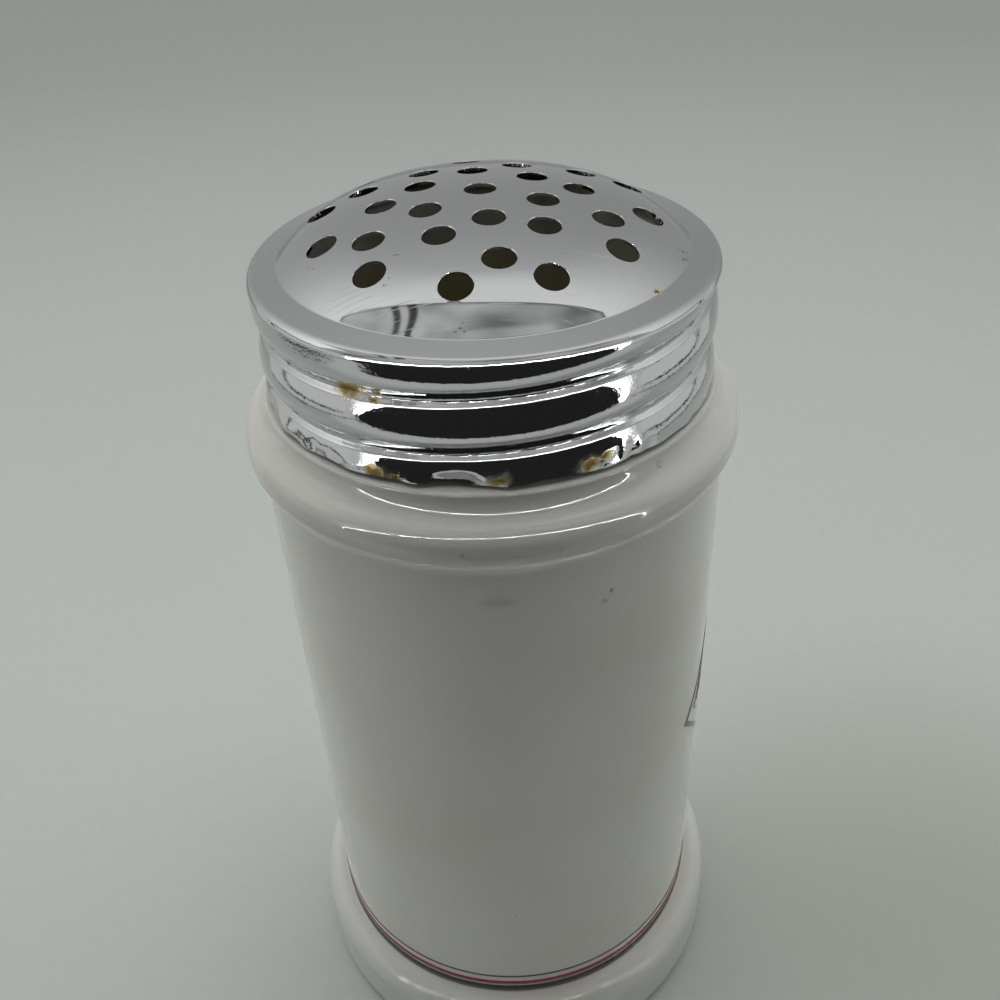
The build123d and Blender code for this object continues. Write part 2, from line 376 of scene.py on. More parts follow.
@dataclass(frozen=True)
class ClearGlaze(Finish):
    """White stoneware under a clear gloss glaze, a little uneven, with iron specks and an aged inside."""

    name: str = "clear_glazed_stoneware"
    white: str = "#c9cac5"
    warm: str = "#c4c0b6"
    speck: str = "#4a443b"
    bisque: str = "#b3a68f"
    film: str = "#c4bd98"
    roughness: float = 0.035
    cloud_mm: float = 30.0
    speck_cell_mm: float = 11.0
    speck_share: float = 0.93
    grit_mm: float = 0.6
    ripple_mm: float = 12.0
    bare_below: float = 0.7
    # Painted shade: the foot is painted greyer below these heights; its rougher glaze there is wear.
    foot_painted_shade: str = "#bcbfb9"
    foot_worn_and_shaded: Span = (14.0, 12.5)
    bead_stain: Span = (117.4, 119.6)
    inside_body: float = 32.2
    inside_neck: float = 27.5
    neck_starts: Span = (111.0, 121.0)
    film_fades: Span = (142.0, 126.0)
    hollow_from: float = 4.0
    cloud_cut: Span = (0.4, 0.7)
    warm_most: float = 0.6
    speck_cut: Span = (0.03, 0.012)
    grit_cut: Span = (0.42, 0.6)
    mark_most: float = 0.9
    bare_full: float = 0.6
    dull_rough: float = 0.33
    bare_rough: float = 0.8
    ior: float = 1.52
    ripple_strength: float = 0.1
    ripple_depth_mm: float = 0.4
    marks: tuple[Spot, ...] = (
        Spot(-66.9, 34.9, 107.2, 0.8),
        Spot(-65.3, 34.9, 108.4, 0.6),
        Spot(-55.7, 34.9, 42.5, 0.6),
        Spot(-116.8, 36.0, 118.7, 0.6),
        Spot(-50.5, 33.2, 124.5, 0.9),
        Spot(-97.0, 36.7, 119.6, 0.5),
        Spot(-78.0, 36.6, 119.2, 0.5),
    )

    def inside(self, tree: NodeTree, place: NodeSocket) -> Node:
        """Return a node that is 1 on the jar's inner wall and fades out below the lip."""
        add = partial(add_node, tree)
        height = add("SeparateXYZ", (place,)).outputs["Z"]
        flat = add("VectorMath", (place, (1, 1, 0)), operation="MULTIPLY")
        radius = add("VectorMath", (flat,), operation="LENGTH")
        low, high = (limit * MM for limit in self.neck_starts)
        limit = add("MapRange", (height, low, high, self.inside_body * MM, self.inside_neck * MM))
        within = add("Math", (radius, limit), operation="LESS_THAN")
        above = add("Math", (height, self.hollow_from * MM), operation="GREATER_THAN")
        clear, full = (limit * MM for limit in self.film_fades)
        fade = add("MapRange", (height, clear, full, 0, 1), **SOFT)
        within = add("Math", (within, above), operation="MULTIPLY")
        return add("Math", (within, fade), operation="MULTIPLY")

    def shader(self, tree: NodeTree, place: NodeSocket) -> Node:
        """Return the glaze's shader: pale cloud, specks, a foot painted greyer as shade and rougher from
        wear, bare foot ring and an aged inside.
        """
        add = partial(add_node, tree)
        cloud = add("TexNoise", {"Vector": place, "Scale": per_metre(self.cloud_mm), "Detail": 3.0})
        warm = add("MapRange", (cloud, *self.cloud_cut, 0, self.warm_most), **SOFT)
        height = add("SeparateXYZ", (place,)).outputs["Z"]
        band = height_band(tree, height, self.bead_stain, **SOFT)
        warm = add("Math", (warm, band), operation="MAXIMUM")
        # Painted shade and wear: the foot greys and roughens between these heights.
        high, low = (limit * MM for limit in self.foot_worn_and_shaded)
        foot_wear_and_shade = add("MapRange", (height, high, low, 0, 1))

        cells = add("TexVoronoi", {"Vector": place, "Scale": per_metre(self.speck_cell_mm)})
        dot = add("MapRange", (cells, *self.speck_cut, 0, 1))
        chance = add("SeparateColor", (cells.outputs["Color"],))
        chosen = add("Math", (chance, self.speck_share), operation="GREATER_THAN")
        dot = add("Math", (dot, chosen), operation="MULTIPLY")
        grit = add("TexNoise", {"Vector": place, "Scale": per_metre(self.grit_mm), "Detail": 2.0})
        patchy = add("MapRange", (grit, *self.grit_cut, 0, self.mark_most))
        mark = add("Math", (any_spot(tree, place, self.marks), patchy), operation="MULTIPLY")
        mark = add("Math", (dot, mark), operation="MAXIMUM")
        edge = self.bare_below * MM
        bare = add("MapRange", (height, edge, self.bare_full * edge, 0, 1))

        colour = linear(self.white)
        for share, tone in (
            (warm, self.warm),
            (foot_wear_and_shade, self.foot_painted_shade),
            (mark, self.speck),
            (bare, self.bisque),
            (self.inside(tree, place), self.film),
        ):
            colour = add("Mix", (share, colour, linear(tone)), data_type="RGBA")
        ripple = add("TexNoise", {"Vector": place, "Scale": per_metre(self.ripple_mm), "Detail": 1.0})
        bump = {"Height": ripple, "Strength": self.ripple_strength, "Distance": self.ripple_depth_mm * MM}
        rough = add("MapRange", (foot_wear_and_shade, 0, 1, self.roughness, self.dull_rough))
        surface = {
            "Base Color": colour,
            "Roughness": add("MapRange", (bare, 0, 1, rough, self.bare_rough)),
            "IOR": self.ior,
            "Normal": add("Bump", bump),
        }
        return add("BsdfPrincipled", surface)


class Ink(Enum):
    """Colours of the fired-on transfers."""

    GREY = "#3b3b3e"
    RED = "#7d1426"
    BLACK = "#171517"


@dataclass(frozen=True)
class FiredTransfer(Finish):
    """Ceramic ink fired into the glaze: dense colour with a fine print grain under a gloss."""

    ink: Ink
    grain_mm: float = 0.35
    # Thin ink keeps a share of its colour and gains some of the white below.
    thin_keeps: float = 0.8
    thin_gains: float = 0.1
    thin_cut: Span = (0.52, 0.8)
    thin_most: float = 0.6
    rough: Span = (0.05, 0.14)
    ior: float = 1.5

    @property
    def name(self) -> str:
        """Return the material's name."""
        return f"fired_transfer_{self.ink.name.lower()}"

    def shader(self, tree: NodeTree, place: NodeSocket) -> Node:
        """Return the ink's shader, thinner in its grain."""
        add = partial(add_node, tree)
        grain = add("TexNoise", {"Vector": place, "Scale": per_metre(self.grain_mm), "Detail": 2.0})
        dense = linear(self.ink.value)
        thin = (*(self.thin_keeps * channel + self.thin_gains for channel in dense[:3]), 1.0)
        share = add("MapRange", (grain, *self.thin_cut, 0, self.thin_most))
        surface = {
            "Base Color": add("Mix", (share, dense, thin), data_type="RGBA"),
            "Roughness": add("MapRange", (grain, *NOISE_SPAN, *self.rough)),
            "IOR": self.ior,
        }
        return add("BsdfPrincipled", surface)


@dataclass(frozen=True)
class PaleRubber(Finish):
    """Moulded food-grade rubber: matt, off-white, with a fine moulding grain."""

    name: str = "pale_moulded_rubber"
    rubber: str = "#bdb6a6"
    aged: str = "#a89f8b"
    grain_mm: float = 0.6
    rough: Span = (0.55, 0.75)
    relief_strength: float = 0.2
    relief_mm: float = 0.1

    def shader(self, tree: NodeTree, place: NodeSocket) -> Node:
        """Return the rubber's shader, with its grain in colour, roughness and relief."""
        add = partial(add_node, tree)
        grain = add("TexNoise", {"Vector": place, "Scale": per_metre(self.grain_mm), "Detail": 3.0})
        colour = add("Mix", (grain, linear(self.rubber), linear(self.aged)), data_type="RGBA")
        bump = {"Height": grain, "Strength": self.relief_strength, "Distance": self.relief_mm * MM}
        surface = {
            "Base Color": colour,
            "Roughness": add("MapRange", (grain, *NOISE_SPAN, *self.rough)),
            "Normal": add("Bump", bump),
        }
        return add("BsdfPrincipled", surface)


@dataclass(frozen=True)
class PalePaper(Finish):
    """Matt paper of the floor: pale grey-green with a faint fibre, with painted light in front and painted
    shade behind and to the right.
    """

    name: str = "pale_paper"
    paper: str = "#b9beb9"
    fibre: str = "#b4b9b4"
    # Painted light: the floor is painted lighter towards the front, between these depths.
    painted_light: str = "#dcdfdc"
    painted_light_from: float = -30.0
    painted_light_to: float = -90.0
    shaded: str = "#a3a8a3"
    shaded_from: float = 60.0
    shaded_to: float = 700.0
    # Painted shadow of the jar: a soft darker patch on the floor to its right.
    dim: str = "#a3a89f"
    dim_middle: tuple[float, float, float] = (95.0, -15.0, 0.0)
    dim_reach: float = 100.0
    fibre_mm: float = 3.0
    roughness: float = 0.85

    def shader(self, tree: NodeTree, place: NodeSocket) -> Node:
        """Return the paper's shader."""
        add = partial(add_node, tree)
        fibre = add("TexNoise", {"Vector": place, "Scale": per_metre(self.fibre_mm), "Detail": 4.0})
        colour = add("Mix", (fibre, linear(self.paper), linear(self.fibre)), data_type="RGBA")
        depth = add("SeparateXYZ", (place,)).outputs["Y"]
        # Painted light towards the front and painted shade towards the back, by depth.
        for tone, start, end in (
            (self.painted_light, self.painted_light_from, self.painted_light_to),
            (self.shaded, self.shaded_from, self.shaded_to),
        ):
            share = add("MapRange", (depth, start * MM, end * MM, 0, 1))
            colour = add("Mix", (share, colour, linear(tone)), data_type="RGBA")
        # Painted shadow: a soft darker patch right of the jar.
        middle = [length * MM for length in self.dim_middle]
        away = add("VectorMath", (place, middle), operation="DISTANCE").outputs["Value"]
        share = add("MapRange", (away, self.dim_reach * MM, 0, 0, 1), **SOFT)
        colour = add("Mix", (share, colour, linear(self.dim)), data_type="RGBA")
        return add("BsdfPrincipled", {"Base Color": colour, "Roughness": self.roughness})


@dataclass(frozen=True)
class TentFront(Finish):
    """Glow of the light tent's front: a dark opening, a bright strip round it, and cloth above and overhead.

    Lengths are in metres, because the tent is large beside the object.
    """

    name: str = "tent_front_glow"
    # The opening is an arch, whose middle leans to one side with height. Arches are half width and height.
    arch_middle: float = -0.035
    arch_lean: float = 0.27
    opening: Span = (0.3, 0.222)
    opening_power: float = 1.7
    strip_end: float = 1.017
    strip_glow: float = 78.0
    lit: Span = (0.44, 0.226)
    lit_power: float = 2.5
    lit_glow: Span = (2.2, 1.3)
    dark: float = 0.02
    low_cloth: float = 0.3
    high_cloth: Span = (0.4, 0.68)
    cloth_turns: Span = (0.2, 0.34)
    fold_size: float = 0.16
    seams: tuple[float, ...] = (-0.19, -0.25)
    seam_half_width: float = 0.01
    seam_bend: float = 2.0
    # Soft shadows on the cloth: place and reach.
    shadows: tuple[tuple[tuple[float, float, float], float], ...] = (
        ((0.03, -0.155, 0.59), 0.14),
        ((0.3, -0.05, 0.6), 0.14),
    )
    edge_slant: float = 0.13
    shade: float = 0.07
    fold_cut: Span = (0.35, 0.65)
    seam_turn: float = 0.04
    seam_dark: float = 0.12
    shadow_core: float = 0.2
    shadow_dark: float = 0.4
    hem: Span = (-0.02, -0.005)
    hem_dark: float = 0.45
    lit_from: float = 0.6
    lit_edge: Span = (0.94, 1.04)
    edge_soft: float = 0.003

    def arch(self, tree: NodeTree, spot: Node, size: Span, power: float) -> Node:
        """Return a node that is 1 on an arch's edge and grows outwards.

        Args:
            tree: the material's node tree.
            spot: the separated place on the wall.
            size: the arch's half width and height.
            power: how square the arch is; 2 makes an ellipse.

        Returns:
            The node.
        """
        add = partial(add_node, tree)
        across = add("Math", (spot.outputs["X"], self.arch_middle), operation="SUBTRACT")
        lean = (spot.outputs["Z"], -self.arch_lean, across)
        across = add("Math", lean, operation="MULTIPLY_ADD")
        across = add("Math", (across,), operation="ABSOLUTE")
        ring = None
        for way, reach in zip((across, spot.outputs["Z"]), size):
            share = add("Math", (way, reach), operation="DIVIDE")
            share = add("Math", (share, power), operation="POWER")
            ring = share if ring is None else add("Math", (ring, share), operation="ADD")
        return add("Math", (ring, 1 / power), operation="POWER")

    def cloth(self, tree: NodeTree, place: NodeSocket, spot: Node) -> Node:
        """Return the cloth's glow, with folds, seams, soft shadows and a dark hem at the back."""
        add = partial(add_node, tree)
        fold = add("TexNoise", {"Vector": place, "Scale": 1 / self.fold_size, "Detail": 1.0})
        high = add("MapRange", (fold, *self.fold_cut, *self.high_cloth))
        share = add("MapRange", (spot.outputs["Z"], *self.cloth_turns, 0, 1))
        glow = add("Mix", (share, self.low_cloth, high), data_type="FLOAT")
        bend = add("Math", (spot.outputs["Y"], -self.seam_turn), operation="ADD")
        bend = add("Math", (bend, bend), operation="MULTIPLY")
        bend = add("Math", (bend, self.seam_bend, spot.outputs["X"]), operation="MULTIPLY_ADD")
        masks = []
        for seam in self.seams:
            away = add("Math", (bend, seam), operation="SUBTRACT")
            away = add("Math", (away,), operation="ABSOLUTE")
            half = self.seam_half_width
            masks.append(add("MapRange", (away, half, 2 * half, self.seam_dark, 1)))
        for middle, reach in self.shadows:
            away = add("VectorMath", (place, middle), operation="DISTANCE").outputs["Value"]
            masks.append(add("MapRange", (away, self.shadow_core * reach, reach, self.shadow_dark, 1)))
        hem = add("Math", (spot.outputs["X"], self.edge_slant), operation="MULTIPLY")
        hem = add("Math", (hem, spot.outputs["Y"]), operation="ADD")
        masks.append(add("MapRange", (hem, *self.hem, 1, self.hem_dark)))
        for mask in masks:
            glow = add("Math", (glow, mask), operation="MULTIPLY")
        return glow

    def shader(self, tree: NodeTree, place: NodeSocket) -> Node:
        """Return the glow of cloth and opening, which reflections see; diffuse rays find the front dark."""
        add = partial(add_node, tree)
        spot = add("SeparateXYZ", (place,))
        glow = self.cloth(tree, place, spot)
        around = self.arch(tree, spot, self.lit, self.lit_power)
        lit = add("MapRange", (around, self.lit_from, 1.0, *self.lit_glow))
        beyond = add("MapRange", (around, *self.lit_edge, 0, 1))
        glow = add("Mix", (beyond, lit, glow), data_type="FLOAT")
        ring = self.arch(tree, spot, self.opening, self.opening_power)
        for end, level in ((self.strip_end, self.strip_glow), (1.0, self.dark)):
            beyond = add("MapRange", (ring, end, end + self.edge_soft, 0, 1))
            glow = add("Mix", (beyond, level, glow), data_type="FLOAT")
        diffuse = add("LightPath").outputs["Is Diffuse Ray"]
        glow = add("Mix", (diffuse, glow, self.shade), data_type="FLOAT")
        return add("Emission", {"Strength": glow})


@dataclass(frozen=True)
class TentSide(Finish):
    """Glow of the tent's side: cloth with a dark hem on the floor and a window in a thin dark frame.

    Lengths are in metres, because the tent is large beside the object.
    """

    name: str = "tent_side_glow"
    middle: Span = (-0.02, 0.1)
    half: Span = (0.115, 0.055)
    corner: float = 0.035
    frame_half: float = 0.006
    hem: float = 0.006
    fades: Span = (-0.13, -0.07)
    pale: float = 0.7
    dark: float = 0.03
    cloth: float = 0.62
    edge_soft: float = 0.001
    # Further than any place on the wall, so that only the way along it counts.
    far_off: float = 10.0

    def shader(self, tree: NodeTree, place: NodeSocket) -> Node:
        """Return the side's glow."""
        add = partial(add_node, tree)
        inner = [half - self.corner for half in self.half]
        away = place
        for operation, *values in (
            ("SUBTRACT", (0, *self.middle)),
            ("ABSOLUTE",),
            ("SUBTRACT", (self.far_off, *inner)),
            ("MAXIMUM", (0, 0, 0)),
            ("LENGTH",),
        ):
            away = add("VectorMath", (away, *values), operation=operation)
        past = add("Math", (away, self.corner), operation="SUBTRACT")
        glow = add("MapRange", (past, 0, self.edge_soft, self.pale, self.cloth))
        past = add("Math", (past,), operation="ABSOLUTE")
        spot = add("SeparateXYZ", (place,))
        frame = add("MapRange", (spot.outputs["Y"], *self.fades, self.cloth, self.dark))
        for far, end, level in ((past, self.frame_half, frame), (spot.outputs["Z"], self.hem, self.dark)):
            line = add("MapRange", (far, end, end + self.edge_soft, 0, 1))
            glow = add("Mix", (line, level, glow), data_type="FLOAT")
        return add("Emission", {"Strength": glow})


def pick(piece: Object) -> None:
    """Select this piece alone and make it active."""
    bpy.ops.object.select_all(action="DESELECT")
    piece.select_set(True)
    bpy.context.view_layer.objects.active = piece


def flat_grid(name: str, size: float, across: int = 1, up: int = 1) -> Object:
    """Add a square grid in X and Y.

    Args:
        name: the new piece's name.
        size: its side, in metres.
        across: its parts along X.
        up: its parts along Y.

    Returns:
        The new piece, selected alone.
    """
    bpy.ops.object.select_all(action="DESELECT")
    bpy.ops.mesh.primitive_grid_add(x_subdivisions=across, y_subdivisions=up, size=size)
    piece = bpy.context.object
    piece.name = name
    piece.data.name = name
    return piece


def face_outwards(piece: Object, merge_mm: float = 0.0) -> None:
    """Merge a piece's doubles, where a distance is given, and turn its faces outwards."""
    pick(piece)
    bpy.ops.object.mode_set(mode="EDIT")
    bpy.ops.mesh.select_all(action="SELECT")
    if merge_mm:
        bpy.ops.mesh.remove_doubles(threshold=merge_mm * MM)
    bpy.ops.mesh.normals_make_consistent(inside=False)
    bpy.ops.object.mode_set(mode="OBJECT")


def join_pieces(name: str, pieces: Sequence[Object]) -> Object:
    """Join pieces into one with a name."""
    pick(pieces[0])
    for piece in pieces:
        piece.select_set(True)
    bpy.ops.object.join()
    joined = bpy.context.object
    joined.name = name
    joined.data.name = name
    return joined


def turn_profile(name: str, profile: Profile, steps: int) -> Object:
    """Turn a profile about the axis, as on a lathe.

    A plane is drawn together to one vertex, which is extruded along the profile and spun.

    Args:
        name: the new piece's name.
        profile: points of radius and height, in millimetres.
        steps: how many steps go round.

    Returns:
        The new piece, with its doubles merged and its faces outwards.
    """
    piece = flat_grid(name, MM)
    bpy.ops.object.mode_set(mode="EDIT")
    bpy.ops.mesh.merge(type="CENTER")
    radius, height = profile[0]
    bpy.ops.transform.translate(value=(radius * MM, 0, height * MM))
    for (radius, height), (next_radius, next_height) in zip(profile, profile[1:]):
        step = ((next_radius - radius) * MM, 0, (next_height - height) * MM)
        bpy.ops.mesh.extrude_vertices_move(TRANSFORM_OT_translate={"value": step})
    bpy.ops.mesh.select_all(action="SELECT")
    bpy.ops.mesh.spin(steps=steps, angle=math.tau, center=(0, 0, 0), axis=(0, 0, 1))
    bpy.ops.object.mode_set(mode="OBJECT")
    face_outwards(piece, 0.0005)
    return piece


def reshape(piece: Object, move: Callable[[Vector], Vector]) -> None:
    """Move each vertex of a piece.

    Args:
        piece: the piece to shape.
        move: gives the new place, in millimetres, of a vertex from its place in millimetres.
    """
    for vertex in piece.data.vertices:
        vertex.co = move(vertex.co / MM) * MM
    piece.data.update()


def apply_modifier(piece: Object, kind: str, **settings) -> None:
    """Add a modifier with its settings and apply it.

    Args:
        piece: the piece to change.
        kind: the modifier's type.
        **settings: the modifier's properties.
    """
    pick(piece)
    modifier = piece.modifiers.new(kind.lower(), kind)
    for name, value in settings.items():
        setattr(modifier, name, value)
    bpy.ops.object.modifier_apply(modifier=modifier.name)


def shade(piece: Object, sharp_from: float) -> None:
    """Shade a piece smooth, apart from edges sharper than an angle in degrees."""
    pick(piece)
    bpy.ops.object.shade_smooth_by_angle(angle=math.radians(sharp_from))


def place_piece(piece: Object, body: str, node: str) -> None:
    """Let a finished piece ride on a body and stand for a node.

    Args:
        piece: the piece, in place.
        body: the body that carries it.
        node: the solid that it stands for.
    """
    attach(piece, body)
    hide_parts(node)
    LOG.info("%s: %d faces, rides on %s", piece.name, len(piece.data.polygons), body)


@dataclass(frozen=True)
class Corner:
    """A corner of a turned profile.

    Attributes:
        radius: distance from the axis.
        height: height above the foot.
        fillet: radius of its rounding.
        step: longest stretch of the straight run that follows.
    """

    radius: float
    height: float
    fillet: float = 0.0
    step: float = 8.0


def round_profile(corners: Sequence[Corner], arc_step: float = 9.0) -> Profile:
    """Round the corners of a profile and divide its straight runs.

    Args:
        corners: the profile's corners, from one end to the other.
        arc_step: degrees between the points of a rounding.

    Returns:
        The profile's points.
    """
    points: list[Vector] = []
    for before, here, after in zip([None, *corners], corners, [*corners[1:], None]):
        tip = Vector((here.radius, here.height))
        if not here.fillet or before is None or after is None:
            stretch = [tip]
        else:
            back = (Vector((before.radius, before.height)) - tip).normalized()
            ahead = (Vector((after.radius, after.height)) - tip).normalized()
            half = back.angle(ahead) / 2
            middle = tip + (back + ahead).normalized() * here.fillet / math.sin(half)
            first = tip + back * here.fillet / math.tan(half) - middle
            last = tip + ahead * here.fillet / math.tan(half) - middle
            count = max(2, round(math.degrees(math.pi - 2 * half) / arc_step))
            stretch = [middle + first.slerp(last, n / count) * here.fillet for n in range(count + 1)]
        if points:
            run = stretch[0] - points[-1]
            parts = max(1, math.ceil(run.length / before.step))
            points += [points[-1] + run * n / parts for n in range(1, parts)]
        points += stretch
    return [(point.x, point.y) for point in points]


@dataclass(frozen=True)
class ScrewThread:
    """The right-hand screw that joins lid and neck: a groove rolled into the lid, a ridge on the neck.

    Heights and angles are those of the groove's middle at the thread's upper end.
    """

    pitch: float = 7.55
    top_angle: float = -2.0
    groove_top: float = 140.33
    groove_bottom: float = 129.37
    groove_depth: float = 1.28
    # Heights from the groove's middle: top of its slope, its floor, and the lower edge of its ledge.
    slope_top: float = 3.55
    floor: float = -0.18
    ledge_low: float = -0.65
    slope_bend: float = 0.7
    # How far the barrel-shaped land below the ledge lies in at its top.
    land_in: float = 0.68
    ridge_offset: float = 3.305
    ridge_bottom: float = 129.3
    ridge_top: float = 140.21
    ridge_proud: float = 1.45
    ridge_half_width: float = 1.77
    run_out: float = 0.35

    def _from_middle(self, angle: float, height: float, offset: float) -> float:
        """Return the height above the nearest turn of the thread, raised by an offset."""
        above = height - offset - self.groove_top - self.pitch * (angle - self.top_angle) / 360
        return above - self.pitch * round(above / self.pitch)

    def _fade(self, middle: float, bottom: float, top: float) -> float:
        """Return how full the thread is where its middle is at a height."""
        low = smooth(bottom - self.run_out, bottom + self.run_out, middle)
        return low * smooth(top + self.run_out, top - self.run_out, middle)

    def groove(self, angle: float, height: float) -> float:
        """Return the skirt's depth: a long slope into the groove, a narrow ledge and a barrel-shaped land.

        Args:
            angle: degrees about the axis.
            height: height on the skirt.

        Returns:
            Millimetres inwards.
        """
        above = self._from_middle(angle, height, 0.0)
        if above > self.slope_top:
            above -= self.pitch
        if above > self.floor:
            near = (self.slope_top - above) / (self.slope_top - self.floor)
            past = max(near - self.slope_bend, 0.0)
            full = near * near / self.slope_bend
            if past:
                full = self.slope_bend + 2 * past - past * past / (1 - self.slope_bend)
            depth = self.groove_depth * full
        elif above > self.ledge_low:
            share = (above - self.ledge_low) / (self.floor - self.ledge_low)
            depth = self.land_in + (self.groove_depth - self.land_in) * share
        else:
            land_low = self.slope_top - self.pitch
            depth = self.land_in * ((above - land_low) / (self.ledge_low - land_low)) ** 2
        return depth * self._fade(height - above, self.groove_bottom, self.groove_top)

    def ridge(self, angle: float, height: float) -> float:
        """Return how far the neck's ridge stands out.

        Args:
            angle: degrees about the axis.
            height: height on the neck.

        Returns:
            Millimetres outwards.
        """
        above = self._from_middle(angle, height, self.ridge_offset)
        share = above / self.ridge_half_width
        if abs(share) >= 1:
            return 0.0
        full = math.sqrt(1 - share * share)
        return self.ridge_proud * full * self._fade(height - above, self.ridge_bottom, self.ridge_top)


@dataclass(frozen=True)
class GlazeRipple:
    """The slight unevenness of a thrown and glazed wall."""

    depth: float = 0.09
    spread: float = 21.0

    def at(self, place: Vector) -> float:
        """Return the wall's rise at a place in millimetres."""
        return self.depth * noise.noise(place / self.spread)


@dataclass
class Jar:
    """The ceramic jar: stepped foot, straight body, rolled shoulder, collar, and a threaded neck."""

    thread: ScrewThread
    ripple: GlazeRipple
    body_radius: float = 34.9
    wall: float = 4.4
    foot_radius: float = 39.3
    foot_height: float = 14.1
    foot_fall: float = 0.6
    foot_recess: float = 2.0
    ring_inside: float = 32.3
    floor: float = 7.0
    shoulder_radius: float = 36.75
    shoulder_top: float = 122.9
    shoulder_low: float = 117.9
    shoulder_blend: float = 115.8
    collar_radius: float = 33.0
    collar_root: float = 123.49
    collar_top: float = 126.1
    neck_radius: float = 29.9
    neck_bore: float = 25.9
    lip: float = 143.01
    inner_round: float = 6.0
    # Roundings, from the foot up.
    recess_round: float = 1.2
    ring_round: float = 0.6
    foot_low_round: float = 2.5
    foot_top_round: float = 3.9
    body_root: float = 0.35
    blend_round: float = 4.0
    shoulder_low_round: float = 2.87
    shoulder_top_round: float = 2.85
    shoulder_roll: float = 0.93
    collar_sweep: float = 3.1
    collar_round: float = 0.5
    neck_root: float = 0.8
    lip_round: float = 1.2
    # The hollow narrows between these depths below the shoulder's top.
    narrows: Span = (2.0, 12.0)
    thread_step: float = 0.36
    neck_slack: float = 0.05
    # The wall's unevenness dies out between these heights.
    evens_out: Span = (3.0, 0.5)
    steps: int = 224

    def corners(self) -> list[Corner]:
        """Return the corners of the jar's profile, from the underside to the floor of the hollow."""
        inside = self.body_radius - self.wall
        neck_end, body_end = (self.shoulder_top - depth for depth in self.narrows)
        return [
            Corner(0, self.foot_recess, step=10),
            Corner(self.ring_inside - self.foot_recess, self.foot_recess, self.recess_round),
            Corner(self.ring_inside, 0, self.ring_round),
            Corner(self.foot_radius, 0, self.foot_low_round),
            Corner(self.foot_radius, self.foot_height - self.foot_fall, self.foot_top_round),
            Corner(self.body_radius, self.foot_height, self.body_root, step=4),
            Corner(self.body_radius, self.shoulder_blend, self.blend_round),
            Corner(self.shoulder_radius, self.shoulder_low, self.shoulder_low_round),
            Corner(self.shoulder_radius, self.shoulder_top - self.shoulder_roll, self.shoulder_top_round),
            Corner(self.collar_radius, self.collar_root, self.collar_sweep),
            Corner(self.collar_radius, self.collar_top, self.collar_round),
            Corner(self.neck_radius, self.collar_top, self.neck_root, step=self.thread_step),
            Corner(self.neck_radius, self.lip, self.lip_round),
            Corner(self.neck_bore, self.lip, self.lip_round),
            Corner(self.neck_bore, neck_end, self.inner_round),
            Corner(inside, body_end, self.inner_round, step=20),
            Corner(inside, self.floor, self.inner_round, step=10),
            Corner(0, self.floor),
        ]

    def throw(self, place: Vector) -> Vector:
        """Raise the thread on the neck and let the wall wander a little."""
        radius = math.hypot(place.x, place.y)
        if radius < self.neck_radius - self.neck_slack:
            return place.copy()
        if place.z > self.collar_top:
            out = self.thread.ridge(angle_of(place), place.z)
        else:
            full, none = self.evens_out
            out = self.ripple.at(place) * smooth(none, full, place.z)
        swell = 1 + out / radius
        return Vector((place.x * swell, place.y * swell, place.z))

    def build(self) -> Object:
        """Model the jar, glaze it and put it in its place."""
        piece = turn_profile("glazed_jar", round_profile(self.corners()), self.steps)
        reshape(piece, self.throw)
        shade(piece, sharp_from=50)
        piece.data.materials.append(ClearGlaze().build())
        place_piece(piece, "jar", "jar")
        return piece


@dataclass(frozen=True)
class Dent:
    """A knock in the lid's skirt.

    Attributes:
        angle: degrees from +X.
        height: height above the foot.
        width: half its width, in degrees.
        tall: half its height.
        depth: how far it goes in; a negative depth stands out.
    """

    angle: float
    height: float
    width: float
    tall: float
    depth: float

    def at(self, angle: float, height: float) -> float:
        """Return how far in the skirt lies at a place."""
        across = degrees_apart(angle, self.angle) / self.width
        up = (height - self.height) / self.tall
        away = across * across + up * up
        return self.depth * math.exp(-2 * away) if away < 4 else 0.0


